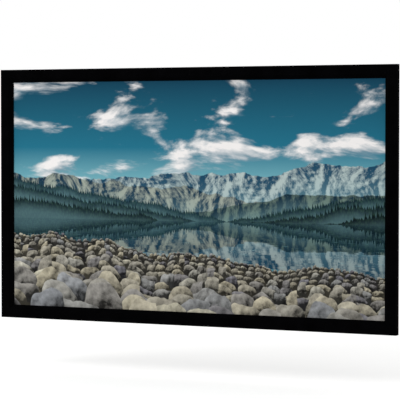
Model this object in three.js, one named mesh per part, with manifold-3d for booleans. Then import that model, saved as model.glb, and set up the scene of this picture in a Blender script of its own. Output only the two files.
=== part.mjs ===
// Wall-mounted fixed frame projection screen, 16:9, 110 inch diagonal.
// Six aluminium extrusions with mitred corners make the frame. Each is wrapped in black flocked velvet.
// L-shaped corner keys and straight splice keys sit in a T-slot at the back, locked by set screws.
// The screen vinyl has a binding welded round its edge, and the binding presses onto snap studs on the frame.
// Four bent steel wall hooks carry the frame by the rear lips of the top and bottom rails.
// Millimetres. +Z is up, the front faces -Y and the wall is at +Y. The origin is the centre of the whole box.

import * as THREE from "three";
import { mergeVertices } from "three/addons/utils/BufferGeometryUtils.js";
import Module from "manifold-3d";

// Visible screen area
const viewWidth = 2438.4;
const viewHeight = 1371.6;

// Velvet wrap
const velvetThickness = 0.8;
const glueLine = 0.2;
const wrapBendRadius = 1.2;
const rearTuck = 5;

// Extrusion section, across the frame from the screen's edge outwards
const railWidth = 76.2;
const wall = 2;
const beadWidth = 5;
const snapZone = 28;
const channelWidth = 26;

// Extrusion section, from the front to the back
const railDepth = 40;
const bevel = 23;
const innerLipHeight = 3;
const snapRecess = 4;
const channelDepth = 6;
const channelLip = 5;
const legSetback = 8;
const hookLip = 10;

// Screen vinyl and its edge binding
const vinylThickness = 0.5;
const vinylMargin = 8;
const weldWidth = 6;
const bindingThickness = 1.2;
const bindingClearance = 2;
const restGap = 0.1;

// Snap fasteners
const snapPitch = 228.6;
const studBaseRadius = 6;
const studBaseThickness = 1;
const studNeckRadius = 2.2;
const studHeadRadius = 2.9;
const studHeadHeight = 2;
const snapPlay = 0.4;
const socketWall = 2.4;
const capRadius = 7;
const capCrownRadius = 4.2;
const capRimHeight = 0.5;
const capHeight = 2;
const rootDepth = 0.3;
const socketSides = 10;
const studSides = 8;

// Corner keys, splice keys and set screws
const keyPlay = 0.3;
const keyLegLength = 150;
const keyCornerChamfer = 8;
const spliceLength = 240;
const keyEndInset = 30;
const keyScrewPitch = 60;
const screwRadius = 3;
const screwPlay = 0.3;
const screwTipPlay = 0.15;
const screwTipChamfer = 0.8;
const screwProtrusion = 1.8;
const hexAcrossFlats = 3;
const hexDepth = 2.5;
const screwSides = 12;

// Wall hooks
const hookWidth = 120;
const hookPlateHeight = 44;
const hookThickness = 2.5;
const hookBendRadius = 2.2;
const hookFlange = 8;
const hookSpacing = 1219.2;
const lipPlay = 0.5;
const shelfPlay = 0.3;
const hookHoleWidth = 6;
const hookSlotLength = 16;
const hookHolePitch = 38;
const hookHoleHeight = 18;
const plateCornerRadius = 5;

// Joints between rails
const mitreGap = 0.3;
const buttGap = 0.2;

// Facets, and how far a cutter runs past what it cuts
const arcSteps = 3;
const holeSides = 12;
const overrun = 1;
const weldTolerance = 1e-4;
const straightTurn = 1e-6;


const vinylWhite = new THREE.MeshStandardMaterial({ color: 0xf2f2ee, roughness: 0.85, metalness: 0 });
const velvetBlack = new THREE.MeshStandardMaterial({ color: 0x050506, roughness: 1, metalness: 0 });
const milledAluminium = new THREE.MeshStandardMaterial({ color: 0x9a9ca0, roughness: 0.45, metalness: 0.9 });
const bindingBlack = new THREE.MeshStandardMaterial({ color: 0x17181a, roughness: 0.7, metalness: 0 });
const zincSteel = new THREE.MeshStandardMaterial({ color: 0xb4b8bc, roughness: 0.35, metalness: 1 });
const blackOxideSteel = new THREE.MeshStandardMaterial({ color: 0x26272a, roughness: 0.4, metalness: 1 });
const paintedSteel = new THREE.MeshStandardMaterial({ color: 0x1c1d1f, roughness: 0.5, metalness: 0.3 });

// Distances u across the frame, from the edge of the visible screen area outwards
const skin = velvetThickness + glueLine;
const uInner = skin;
const uBead = uInner + beadWidth;
const uLeg = uBead + snapZone;
const uChannel = uLeg + wall;
const uRib = uChannel + channelWidth;
const uPocket = uRib + wall;
const uOuter = uInner + railWidth;
const uChannelCentre = uChannel + channelWidth / 2;
const uVinylEdge = uBead + vinylMargin;
const uSnap = (uVinylEdge + uLeg) / 2;
const uHookLip = uOuter - wall - hookLip;

// Distances d from the front face of the bare extrusion backwards
const dBead = bevel + innerLipHeight;
const dFlange = dBead - snapRecess;
const dChannelBack = wall + channelDepth;
const dVinyl = dBead + skin + restGap;
const dBinding = dVinyl + vinylThickness + restGap;
const dBindingBack = dBinding + bindingThickness;
const dWall = railDepth + lipPlay + hookThickness;
const depth = skin + dWall;
const yFront = skin - depth / 2;

const wasm = await Module();
wasm.setup();

// A closed geometry as a solid for joining and cutting.
function solidOf(geometry) {
  const bare = geometry.index ? geometry.toNonIndexed() : geometry.clone();
  bare.deleteAttribute("normal");
  bare.deleteAttribute("uv");
  const merged = mergeVertices(bare, weldTolerance);
  return new wasm.Manifold(
    new wasm.Mesh({
      numProp: 3,
      vertProperties: merged.attributes.position.array,
      triVerts: new Uint32Array(merged.index.array),
    }),
  );
}

// A solid as a flat-shaded geometry.
function geometryOf(solid) {
  const mesh = solid.getMesh();
  const geometry = new THREE.BufferGeometry();
  geometry.setAttribute("position", new THREE.BufferAttribute(Float32Array.from(mesh.vertProperties), 3));
  geometry.setIndex(new THREE.BufferAttribute(Uint32Array.from(mesh.triVerts), 1));
  const flat = geometry.toNonIndexed();
  flat.computeVertexNormals();
  return flat;
}

function point(u, d) {
  return new THREE.Vector2(d, u);
}

// A polyline moved sideways by an offset, to the right of its direction, with each bend rounded.
// The bend radius is that of the unmoved line, so two offsets of one line stay parallel round the bends.
function parallelPath(points, offset, bendRadius) {
  const heading = (a, b) => b.clone().sub(a).normalize();
  const rightOf = (v) => new THREE.Vector2(v.y, -v.x);
  const last = points.length - 1;
  const corners = points.map((p, i) => {
    const before = heading(points[Math.max(i - 1, 0)], points[Math.max(i, 1)]);
    const after = heading(points[Math.min(i, last - 1)], points[Math.min(i + 1, last)]);
    const sum = rightOf(before).add(rightOf(after));
    const turn = before.cross(after);
    const move = sum.multiplyScalar(offset / (1 + before.dot(after)));
    return { at: p.clone().add(move), before, after, turn };
  });
  const path = [];
  corners.forEach(({ at, before, after, turn }, i) => {
    const radius = Math.max(bendRadius + offset * Math.sign(turn), 0);
    if (i === 0 || i === last || Math.abs(turn) < straightTurn || radius === 0) {
      path.push(at);
      return;
    }
    const angle = Math.acos(before.dot(after));
    const start = at.clone().addScaledVector(before, -radius * Math.tan(angle / 2));
    const centre = start.clone().addScaledVector(rightOf(before), -radius * Math.sign(turn));
    for (let k = 0; k <= arcSteps; k++) {
      path.push(start.clone().rotateAround(centre, (Math.sign(turn) * angle * k) / arcSteps));
    }
  });
  return path;
}

// A bar along X with the given section. Each end is { x, slope }: a point at distance u lies at x + slope * u.
function bar(outline, holes, low, high) {
  const shape = new THREE.Shape(outline);
  shape.holes = holes.map((hole) => new THREE.Path(hole));
  const geometry = new THREE.ExtrudeGeometry(shape, { depth: 1, bevelEnabled: false });
  const sectionToRail = new THREE.Matrix4().makeBasis(
    new THREE.Vector3(0, 1, 0),
    new THREE.Vector3(0, 0, 1),
    new THREE.Vector3(1, 0, 0),
  );
  geometry.applyMatrix4(sectionToRail);
  const position = geometry.attributes.position;
  for (let i = 0; i < position.count; i++) {
    const end = position.getX(i) < 0.5 ? low : high;
    position.setX(i, end.x + end.slope * position.getZ(i));
    position.setY(i, position.getY(i) + yFront);
  }
  return geometry;
}

// A solid of revolution about the depth axis, from (radius, d) pairs, centred at x and u.
function turned(profile, sides, x, u) {
  const points = profile.map(([r, d]) => new THREE.Vector2(r, d));
  return new THREE.LatheGeometry(points, sides).translate(x, yFront, u);
}

// The ends of a side's bars: mitred at the frame's corners, square where two half rails meet.
function mitredEnd(openingLength, sign) {
  const halfLength = openingLength / 2 - mitreGap / Math.SQRT2;
  return { x: sign * halfLength, slope: sign };
}

function squareEnd(sign) {
  return { x: (sign * buttGap) / 2, slope: 0 };
}

// The bare extrusion's face that the velvet covers: rear lip, outer wall, front face, bevel, inner lip and bead.
function wrappedFace() {
  return [
    point(uOuter - rearTuck, railDepth),
    point(uOuter, railDepth),
    point(uOuter, 0),
    point(uInner + bevel, 0),
    point(uInner, bevel),
    point(uInner, dBead),
    point(uBead, dBead),
  ];
}

// The extrusion's outline: the wrapped face, the snap flange, the leg, the T-slot, the pocket and the hook lip.
function railOutline() {
  const slotBack = dChannelBack + wall;
  const legBack = railDepth - legSetback;
  const inside = [
    point(uBead, dFlange),
    point(uLeg, dFlange),
    point(uLeg, legBack),
    point(uChannel, legBack),
    point(uChannel, slotBack),
    point(uChannel + channelLip, slotBack),
    point(uChannel + channelLip, dChannelBack),
    point(uChannel, dChannelBack),
    point(uChannel, wall),
    point(uRib, wall),
    point(uRib, dChannelBack),
    point(uRib - channelLip, dChannelBack),
    point(uRib - channelLip, slotBack),
    point(uPocket, slotBack),
    point(uPocket, wall),
    point(uOuter - wall, wall),
    point(uOuter - wall, railDepth - wall),
    point(uHookLip, railDepth - wall),
    point(uHookLip, railDepth),
  ];
  const outside = parallelPath(wrappedFace(), 0, wrapBendRadius);
  return [...outside.slice(1), ...inside];
}

// The closed cell between the bevel, the front face, the leg and the snap flange.
function stiffeningCell() {
  const bevelInside = uInner + bevel + wall * Math.SQRT2;
  const cellBack = dFlange - wall;
  return [
    point(bevelInside - wall, wall),
    point(bevelInside - cellBack, cellBack),
    point(uLeg, cellBack),
    point(uLeg, wall),
  ];
}

function velvetOutline() {
  const glued = parallelPath(wrappedFace(), glueLine, wrapBendRadius);
  const pile = parallelPath(wrappedFace(), skin, wrapBendRadius);
  return [...pile, ...glued.reverse()];
}

function bindingOutline() {
  const from = uVinylEdge - weldWidth;
  const to = uLeg - bindingClearance;
  return [point(from, dBinding), point(to, dBinding), point(to, dBindingBack), point(from, dBindingBack)];
}

// A snap stud riveted to the flange: base, neck and rounded head.
function snapStud(x) {
  const baseTop = dFlange + studBaseThickness;
  const headTop = dBinding - snapPlay;
  const profile = [
    [0, dFlange - rootDepth],
    [studBaseRadius, dFlange - rootDepth],
    [studBaseRadius, baseTop],
    [studNeckRadius, baseTop],
    [studNeckRadius, headTop - studHeadHeight],
    [studHeadRadius, headTop - studHeadHeight / 2],
    [studNeckRadius, headTop],
    [0, headTop],
  ];
  return turned(profile, studSides, x, uSnap);
}

// A snap socket riveted through the binding: a ring round the stud's head, and a domed cap behind.
function snapSocket(x) {
  const boreRadius = studHeadRadius + snapPlay;
  const ringFront = dFlange + studBaseThickness + snapPlay;
  const profile = [
    [0, dBinding],
    [boreRadius, dBinding],
    [boreRadius, ringFront],
    [boreRadius + socketWall, ringFront],
    [boreRadius + socketWall, dBinding + rootDepth],
    [capRadius, dBindingBack - rootDepth],
    [capRadius, dBindingBack + capRimHeight],
    [capCrownRadius, dBindingBack + capHeight],
    [0, dBindingBack + capHeight],
  ];
  return turned(profile, socketSides, x, uSnap);
}

// Snap places along one rail: as near the snap pitch as divides its length evenly.
function snapPlaces(fromX, toX) {
  const count = Math.max(1, Math.round((toX - fromX) / snapPitch));
  const pitch = (toX - fromX) / count;
  return Array.from({ length: count }, (_, i) => fromX + (i + 0.5) * pitch);
}

function joined(geometry, additions) {
  const whole = additions.reduce((solid, part) => solid.add(solidOf(part)), solidOf(geometry));
  return geometryOf(whole);
}

function drilled(geometry, cutters) {
  const rest = cutters.reduce((solid, cutter) => solid.subtract(solidOf(cutter)), solidOf(geometry));
  return geometryOf(rest);
}

// A plate in the X and u plane between two depths.
function plate(shape, dFront, dBack) {
  const geometry = new THREE.ExtrudeGeometry(shape, {
    depth: dBack - dFront,
    bevelEnabled: false,
    curveSegments: holeSides / 4,
  });
  return geometry.rotateX(Math.PI / 2).translate(0, yFront + dBack, 0);
}

const keyWidth = channelWidth - 2 * keyPlay;
const keyFront = wall + keyPlay;
const keyBack = dChannelBack - keyPlay;

// A threaded hole through a key, with room for its set screw.
function keyHole(x, u) {
  const radius = screwRadius + screwPlay;
  const profile = [
    [0, keyFront - overrun],
    [radius, keyFront - overrun],
    [radius, keyBack + overrun],
    [0, keyBack + overrun],
  ];
  return turned(profile, holeSides, x, u);
}

// A set screw with a hexagon socket, its tip on the extrusion's front web.
function setScrew(x, u) {
  const tip = wall + screwTipPlay;
  const head = keyBack + screwProtrusion;
  const profile = [
    [0, tip],
    [screwRadius - screwTipChamfer, tip],
    [screwRadius, tip + screwTipChamfer],
    [screwRadius, head],
    [0, head],
  ];
  const hexRadius = hexAcrossFlats / Math.sqrt(3);
  const hexProfile = [
    [0, head - hexDepth],
    [hexRadius, head - hexDepth],
    [hexRadius, head + overrun],
    [0, head + overrun],
  ];
  return drilled(turned(profile, screwSides, x, u), [turned(hexProfile, 6, x, u)]);
}

// Set screw places along one leg of a corner key, from where the centre lines of its legs meet.
const legEnd = keyWidth / 2 - keyLegLength;
const legScrews = [legEnd + keyEndInset, legEnd + keyEndInset + keyScrewPitch];

// An L-shaped flat key about the point where the centre lines of its legs meet: they run towards -X and -u.
function cornerKey() {
  const outer = keyWidth / 2;
  const inner = -keyWidth / 2;
  const far = outer - keyLegLength;
  const shape = new THREE.Shape([
    new THREE.Vector2(far, inner),
    new THREE.Vector2(inner, inner),
    new THREE.Vector2(inner, far),
    new THREE.Vector2(outer, far),
    new THREE.Vector2(outer, outer - keyCornerChamfer),
    new THREE.Vector2(outer - keyCornerChamfer, outer),
    new THREE.Vector2(far, outer),
  ]);
  const holes = legScrews.flatMap((along) => [keyHole(along, 0), keyHole(0, along)]);
  return drilled(plate(shape, keyFront, keyBack), holes);
}

// A straight flat key across the joint of two half rails.
const spliceScrews = [-1, 1].flatMap((side) => [
  side * (spliceLength / 2 - keyEndInset),
  side * (spliceLength / 2 - keyEndInset - keyScrewPitch),
]);

function spliceKey() {
  const outline = [
    point(uChannelCentre - keyWidth / 2, keyFront),
    point(uChannelCentre + keyWidth / 2, keyFront),
    point(uChannelCentre + keyWidth / 2, keyBack),
    point(uChannelCentre - keyWidth / 2, keyBack),
  ];
  const ends = [
    { x: -spliceLength / 2, slope: 0 },
    { x: spliceLength / 2, slope: 0 },
  ];
  return drilled(bar(outline, [], ...ends), spliceScrews.map((x) => keyHole(x, uChannelCentre)));
}

// A slot for a wall screw through a wall hook's plate, as a cutter.
function plateSlot(x, u) {
  const radius = hookHoleWidth / 2;
  const reach = (hookSlotLength - hookHoleWidth) / 2;
  const shape = new THREE.Shape();
  shape.absarc(x + reach, u, radius, -Math.PI / 2, Math.PI / 2);
  shape.absarc(x - reach, u, radius, Math.PI / 2, (3 * Math.PI) / 2);
  return plate(shape, dWall - hookThickness - overrun, dWall + overrun);
}

// The waste outside a rounded corner at the foot of a wall hook's plate, as a cutter. side is -1 or 1 along X.
function cornerWaste(x, u, side) {
  const r = plateCornerRadius;
  const arc = Array.from({ length: arcSteps + 1 }, (_, i) => ((i / arcSteps) * Math.PI) / 2);
  const outline = [
    ...arc.map((a) => new THREE.Vector2(x - side * r * (1 - Math.cos(a)), u + r * (1 - Math.sin(a)))),
    new THREE.Vector2(x - side * r, u - overrun),
    new THREE.Vector2(x + side * overrun, u - overrun),
    new THREE.Vector2(x + side * overrun, u + r),
  ];
  return plate(new THREE.Shape(outline), dWall - hookThickness - overrun, dWall + overrun);
}

// A wall hook: a plate on the wall, a shelf under the rail's rear lip and a flange in front of that lip.
function wallHook(x) {
  const uShelf = uHookLip - shelfPlay - hookThickness / 2;
  const dPlate = dWall - hookThickness / 2;
  const dFlangeLine = railDepth - wall - shelfPlay - hookThickness / 2;
  const line = [
    point(uShelf - hookPlateHeight, dPlate),
    point(uShelf, dPlate),
    point(uShelf, dFlangeLine),
    point(uShelf + hookThickness / 2 + hookFlange, dFlangeLine),
  ];
  const left = parallelPath(line, -hookThickness / 2, hookBendRadius);
  const right = parallelPath(line, hookThickness / 2, hookBendRadius);
  const ends = [
    { x: x - hookWidth / 2, slope: 0 },
    { x: x + hookWidth / 2, slope: 0 },
  ];
  const uFoot = uShelf - hookPlateHeight;
  const uHoles = uFoot + hookHoleHeight;
  const cutters = [
    ...[-1, 0, 1].map((column) => plateSlot(x + column * hookHolePitch, uHoles)),
    ...[-1, 1].map((side) => cornerWaste(x + (side * hookWidth) / 2, uFoot, side)),
  ];
  return drilled(bar([...right, ...left.reverse()], [], ...ends), cutters);
}

function mesh(name, geometry, material) {
  const piece = new THREE.Mesh(geometry, material);
  piece.name = name;
  return piece;
}

const screen = new THREE.Group();

// One side of the frame in its own group: X runs along the side, +Z points away from the screen's centre.
// rails lists its extrusions as [name, low end, high end, snap places].
function frameSide(name, angle, openingLength, toEdge, rails) {
  const side = new THREE.Group();
  side.rotation.y = angle;
  const place = (piece) => {
    piece.position.z = toEdge;
    side.add(piece);
  };
  rails.forEach(([rail, low, high, snaps]) => {
    const bare = bar(railOutline(), [stiffeningCell()], low, high);
    place(mesh(`${rail}_rail`, joined(bare, snaps.map(snapStud)), milledAluminium));
    place(mesh(`${rail}_velvet_wrap`, bar(velvetOutline(), [], low, high), velvetBlack));
  });
  const ends = [mitredEnd(openingLength, -1), mitredEnd(openingLength, 1)];
  const sockets = rails.flatMap(([, , , snaps]) => snaps).map(snapSocket);
  const binding = joined(bar(bindingOutline(), [], ...ends), sockets);
  place(mesh(`${name}_edge_binding`, binding, bindingBlack));
  screen.add(side);
  return place;
}

// The top and bottom sides come in two halves with a splice key; both carry wall hooks.
function splicedSide(name, angle, leftSign) {
  const half = viewWidth / 2;
  const sides = leftSign < 0 ? ["left", "right"] : ["right", "left"];
  const place = frameSide(name, angle, viewWidth, viewHeight / 2, [
    [`${name}_${sides[0]}`, mitredEnd(viewWidth, -1), squareEnd(-1), snapPlaces(-half, 0)],
    [`${name}_${sides[1]}`, squareEnd(1), mitredEnd(viewWidth, 1), snapPlaces(0, half)],
  ]);
  place(mesh(`${name}_splice_key`, spliceKey(), zincSteel));
  spliceScrews.forEach((x, i) => {
    place(mesh(`${name}_splice_screw_${i + 1}`, setScrew(x, uChannelCentre), blackOxideSteel));
  });
  place(mesh(`${name}_${sides[0]}_wall_hook`, wallHook(-hookSpacing / 2), paintedSteel));
  place(mesh(`${name}_${sides[1]}_wall_hook`, wallHook(hookSpacing / 2), paintedSteel));
}

function plainSide(name, angle) {
  const half = viewHeight / 2;
  frameSide(name, angle, viewHeight, viewWidth / 2, [
    [name, mitredEnd(viewHeight, -1), mitredEnd(viewHeight, 1), snapPlaces(-half, half)],
  ]);
}

splicedSide("top", 0, -1);
splicedSide("bottom", Math.PI, 1);
plainSide("right", Math.PI / 2);
plainSide("left", -Math.PI / 2);

// Corner keys: each is made for the upper right corner and turned about the depth axis to its own.
const cornerAtX = viewWidth / 2 + uChannelCentre;
const cornerAtZ = viewHeight / 2 + uChannelCentre;
const corners = [
  ["top_right", 1, 1, 0],
  ["bottom_right", 1, -1, Math.PI / 2],
  ["bottom_left", -1, -1, Math.PI],
  ["top_left", -1, 1, -Math.PI / 2],
];
corners.forEach(([name, signX, signZ, angle]) => {
  const corner = new THREE.Group();
  corner.position.set(signX * cornerAtX, 0, signZ * cornerAtZ);
  corner.rotation.y = angle;
  corner.add(mesh(`${name}_corner_key`, cornerKey(), zincSteel));
  legScrews.forEach((along, i) => {
    corner.add(mesh(`${name}_set_screw_${2 * i + 1}`, setScrew(along, 0), blackOxideSteel));
    corner.add(mesh(`${name}_set_screw_${2 * i + 2}`, setScrew(0, along), blackOxideSteel));
  });
  screen.add(corner);
});

// The screen vinyl, flat behind the frame's bead.
const vinyl = mesh(
  "screen_vinyl",
  new THREE.BoxGeometry(viewWidth + 2 * uVinylEdge, vinylThickness, viewHeight + 2 * uVinylEdge),
  vinylWhite,
);
vinyl.position.y = yFront + dVinyl + vinylThickness / 2;
screen.add(vinyl);

export default screen;
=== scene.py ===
import math
from collections import namedtuple
from functools import partial

import bmesh
import bpy
import numpy as np
from bpy.props import BoolProperty, FloatProperty, FloatVectorProperty, IntProperty, PointerProperty
from mathutils import Matrix, Vector


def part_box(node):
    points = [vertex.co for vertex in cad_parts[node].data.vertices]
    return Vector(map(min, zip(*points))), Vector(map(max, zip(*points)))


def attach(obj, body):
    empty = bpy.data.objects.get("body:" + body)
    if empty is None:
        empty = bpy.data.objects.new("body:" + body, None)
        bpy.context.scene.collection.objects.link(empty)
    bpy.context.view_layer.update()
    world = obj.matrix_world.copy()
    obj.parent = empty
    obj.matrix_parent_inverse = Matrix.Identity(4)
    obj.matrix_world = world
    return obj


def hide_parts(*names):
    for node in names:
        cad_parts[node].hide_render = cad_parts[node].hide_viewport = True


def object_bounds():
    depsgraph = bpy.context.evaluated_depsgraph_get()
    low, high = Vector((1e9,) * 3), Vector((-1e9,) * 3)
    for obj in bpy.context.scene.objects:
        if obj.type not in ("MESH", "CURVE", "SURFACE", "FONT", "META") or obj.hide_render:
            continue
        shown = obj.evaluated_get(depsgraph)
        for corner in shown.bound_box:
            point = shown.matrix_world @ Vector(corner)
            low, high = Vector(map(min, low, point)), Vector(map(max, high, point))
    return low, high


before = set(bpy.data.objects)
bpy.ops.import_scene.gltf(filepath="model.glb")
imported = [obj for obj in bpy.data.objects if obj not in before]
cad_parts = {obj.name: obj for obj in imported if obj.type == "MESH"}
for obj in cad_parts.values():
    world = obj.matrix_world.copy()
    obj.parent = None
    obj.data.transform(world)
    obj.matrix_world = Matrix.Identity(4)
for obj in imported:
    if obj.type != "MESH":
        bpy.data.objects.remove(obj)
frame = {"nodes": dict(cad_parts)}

bl_info = {
    "name": "Fixed Frame Projection Screen",
    "version": (1, 0, 0),
    "blender": (4, 5, 0),
    "location": "3D View > Sidebar > Projection Screen",
    "description": "Dresses a wall-hung projection screen: sheet, velvet, extrusions and their hardware",
    "category": "Object",
}

CAD_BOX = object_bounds()
MM = 0.001

# Names of like pieces in the frame
LEVEL_SIDES = ("top", "bottom")
UPRIGHT_SIDES = ("left", "right")
SIDES = LEVEL_SIDES + UPRIGHT_SIDES
CORNERS = ("top_left", "top_right", "bottom_left", "bottom_right")
LEVEL_RAILS = CORNERS
UPRIGHT_RAILS = UPRIGHT_SIDES
RAILS = LEVEL_RAILS + UPRIGHT_RAILS

# Sizes read from the frame, in metres. u is the distance outwards from the edge of the visible picture.
HALF_VIEW = {"x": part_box("right_velvet_wrap")[0].x, "z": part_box("top_left_velvet_wrap")[0].z}
HALF_SIDE = {side: HALF_VIEW["x" if side in LEVEL_SIDES else "z"] for side in SIDES}
VIEW_HEIGHT = 2 * HALF_VIEW["z"]
SHEET_LOW, SHEET_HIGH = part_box("screen_vinyl")
STRAP_LOW, STRAP_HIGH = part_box("top_edge_binding")
STRAP_INNER_U = STRAP_LOW.z - HALF_VIEW["z"]
STRAP_OUTER_U = STRAP_HIGH.z - HALF_VIEW["z"]
SHEET_EDGE_U = SHEET_HIGH.z - HALF_VIEW["z"]

# Sizes of the binding and its snaps that their boxes don't show
STRAP_CLEARANCE = 2 * MM
STRAP_THICKNESS = 1.2 * MM
STRAP_SEAT = 0.1 * MM
STRAP_FRONT = SHEET_HIGH.y + STRAP_SEAT
STRAP_BACK = STRAP_FRONT + STRAP_THICKNESS
STRAP_MITRE_GAP = 0.3 * MM
WELD_INNER_U = STRAP_INNER_U + 1.2 * MM
WELD_OUTER_U = SHEET_EDGE_U - 0.8 * MM
SNAP_U = (SHEET_EDGE_U + STRAP_OUTER_U + STRAP_CLEARANCE) / 2
SNAP_BORE = 3.3 * MM
SNAP_RING = 5.7 * MM
SNAP_CAP = 7.0 * MM
SNAP_EDGE = 0.4 * MM
SNAP_CAP_RIM = 0.5 * MM

# Sizes of the set screws
SCREW_SOCKET_APOTHEM = 1.5 * MM
SCREW_SOCKET_DEPTH = 2.5 * MM
SCREW_SOCKET_BEVEL = 0.2 * MM
SCREW_TIP_CHAMFER = 0.8 * MM
SCREW_CUP_RIM = 1.2 * MM
SCREW_CUP_DEPTH = 0.7 * MM
THREAD_DEPTH = 0.45 * MM
THREAD_FROM_HEAD = 0.5 * MM
THREAD_FROM_TIP = 0.9 * MM

# Sizes of the velvet and of the section that it follows
VELVET_THICKNESS = 0.8 * MM
GLUE_LINE = 0.2 * MM
WRAP_BEND = 1.2 * MM
BEVEL = 23 * MM
LIP = 3 * MM
BEAD = 5 * MM
REAR_TUCK = 5 * MM

# Faces of the bare extrusion that the velvet covers
SKIN = VELVET_THICKNESS + GLUE_LINE
WRAP_LOW, WRAP_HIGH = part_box("top_left_velvet_wrap")
RAIL_FRONT = WRAP_LOW.y + SKIN
RAIL_REAR = WRAP_HIGH.y - SKIN
RAIL_OUTER_U = WRAP_HIGH.z - HALF_VIEW["z"] - SKIN
RAIL_INNER_U = SKIN
BEAD_Y = RAIL_FRONT + BEVEL + LIP

# How fast the two waves of the velvet's hand-cut edge run along a strip, in radians over its length
TRIM_WAVES = (31, 67)

# Fineness of the meshes. Points nearer than SAME_POINT, in metres, are welded.
SAME_POINT = 0.1e-6
SHARP_EDGE = math.radians(35)
SHEET_GRID = (221, 127)
BEND_STEPS = 7
ROLL_STEPS = 7
VELVET_STATIONS = 79
STRAP_STATIONS = 61
SNAP_FACETS = 32
SNAP_CROWN_STEPS = 9
SNAP_EDGE_STEPS = 4
SNAP_RIM_STEPS = 6
THREAD_STEPS = 8

# The photograph's width and the place of the screen's centre in it, in pixels, and the sensor's width in mm
PHOTO_WIDTH = 400
PHOTO_CENTRE = (190.87, 196.68)
SENSOR_WIDTH = 36

# The stage in metres, and the light that the camera alone sees added to the floor
FLOOR_REACH = 30.0
SOFTBOX_SIZE = (4.0, 3.0)
SOFTBOX_PLACE = (-4.0, -6.5, 4.0)
FAR_CLIP = 100.0
FLOOR_LIFT = 0.32


def linear(hex_colour):
    """An sRGB hex colour as linear red, green, blue and an alpha of 1."""
    channels = [int(hex_colour[i : i + 2], 16) / 255 for i in (1, 3, 5)]
    return (*[c / 12.92 if c <= 0.04045 else ((c + 0.055) / 1.055) ** 2.4 for c in channels], 1.0)


def number_property(name, description, default, **details):
    return FloatProperty(name=name, description=description, default=default, **details)


length_property = partial(number_property, unit="LENGTH", subtype="DISTANCE")
angle_property = partial(number_property, unit="ROTATION", subtype="ANGLE")


def colour_property(name, description, hex_colour):
    return FloatVectorProperty(
        name=name, description=description, default=linear(hex_colour), subtype="COLOR", size=4, min=0, max=1
    )


# Settings


class PictureSettings(bpy.types.PropertyGroup):
    """The landscape that stands in for a projected picture, painted into the sheet's base colour as painted
    light.
    """

    shown: BoolProperty(
        name="Show Picture",
        description="Show a landscape on the sheet. Off leaves the bare white sheet",
        default=True,
    )
    far_shore: number_property(
        "Far Shore",
        "Height of the lake's far shore above the middle, as a share of the picture's height",
        -0.105, min=-0.4, max=0.4,
    )
    sky_top: colour_property("Sky, Top", "Colour of the sky at the top of the picture", "#15435a")
    sky_middle: colour_property("Sky, Middle", "Colour of the sky half way up", "#24718a")
    sky_low: colour_property("Sky, Low", "Colour of the sky above the ridges", "#8cc9d2")
    cloud_light: colour_property("Cloud, Lit", "Colour of the clouds' lit sides", "#faf6f4")
    cloud_shade: colour_property("Cloud, Shaded", "Colour of the clouds' undersides", "#7f9aa8")
    haze: colour_property("Haze", "Colour of the haze between the ridges", "#8fc0c9")
    deep_water: colour_property("Deep Water", "Colour of the lake close to the viewer", "#0c2f3c")


class SheetSettings(bpy.types.PropertyGroup):
    """The stretched vinyl sheet and its edge binding."""

    ripple: length_property(
        "Ripple",
        "Depth of the shallow ripples that the snaps pull into the sheet",
        0.35 * MM, min=0, max=2 * MM,
    )
    ripple_reach: length_property(
        "Ripple Reach", "Distance from the frame at which the ripples are deepest", 45 * MM, min=5 * MM
    )
    snap_pitch: length_property(
        "Snap Pitch",
        "Nominal distance between snap fasteners, rounded to divide each rail evenly",
        228.6 * MM, min=50 * MM,
    )
    weld_press: length_property(
        "Weld Press", "Depth to which the welding bar pressed the binding", 0.2 * MM, min=0, max=0.2 * MM
    )
    binding: colour_property("Binding", "Colour of the PVC binding strap", "#18191b")
    backing: colour_property("Backing", "Colour of the sheet's opaque backing", "#232427")


class FrameSettings(bpy.types.PropertyGroup):
    """The velvet, the extrusions and their hardware."""

    pile: colour_property("Pile", "Colour of the flocked velvet", "#040405")
    seam_roll: length_property(
        "Seam Roll",
        "Distance over which the velvet rolls in at a mitre or a butt joint",
        0.7 * MM, min=0.1 * MM, max=3 * MM,
    )
    trim: length_property(
        "Trim", "How far the velvet's hand-cut edge behind the rails wanders", 0.5 * MM, min=0, max=2 * MM
    )
    aluminium: colour_property("Aluminium", "Colour of the extrusions", "#c3c5c8")
    zinc: colour_property("Zinc", "Colour of the zinc plated keys", "#c9cfd4")
    powder_coat: colour_property("Powder Coat", "Colour of the wall hooks", "#191a1c")
    thread_pitch: length_property("Thread Pitch", "Pitch of the set screws' thread", 1.0 * MM, min=0.3 * MM)
    screw_facets: IntProperty(
        name="Screw Facets",
        description="Faces round each set screw, a multiple of six",
        default=36, min=12, max=96,
    )


class StageSettings(bpy.types.PropertyGroup):
    """The camera, the floor and the light."""

    azimuth: angle_property(
        "Azimuth",
        "Camera's turn round the screen, to the viewer's right of straight ahead",
        math.radians(26.149),
    )
    elevation: angle_property(
        "Elevation",
        "Camera's height as an angle above the level through the screen's centre",
        math.radians(1.901),
    )
    distance: length_property("Distance", "Camera's distance from the screen's centre", 11.823, min=1)
    lens: number_property(
        "Focal Length", "Camera's focal length on a 36 mm wide sensor", 180.06, min=1, unit="CAMERA"
    )
    floor_drop: length_property(
        "Floor Drop", "Distance from the screen's lower edge down to the floor", 0.30, min=0
    )
    floor: colour_property("Floor", "Colour of the studio floor", "#f4f4f3")
    surround: number_property("Surround", "Strength of the even white light from all round", 0.80, min=0)
    key_power: number_property(
        "Key Light", "Power of the large soft light in front of the screen", 160, min=0, unit="POWER"
    )


class ScreenSettings(bpy.types.PropertyGroup):
    """All settings of the projection screen."""

    picture: PointerProperty(type=PictureSettings)
    sheet: PointerProperty(type=SheetSettings)
    frame: PointerProperty(type=FrameSettings)
    stage: PointerProperty(type=StageSettings)


# Nodes and materials


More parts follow.
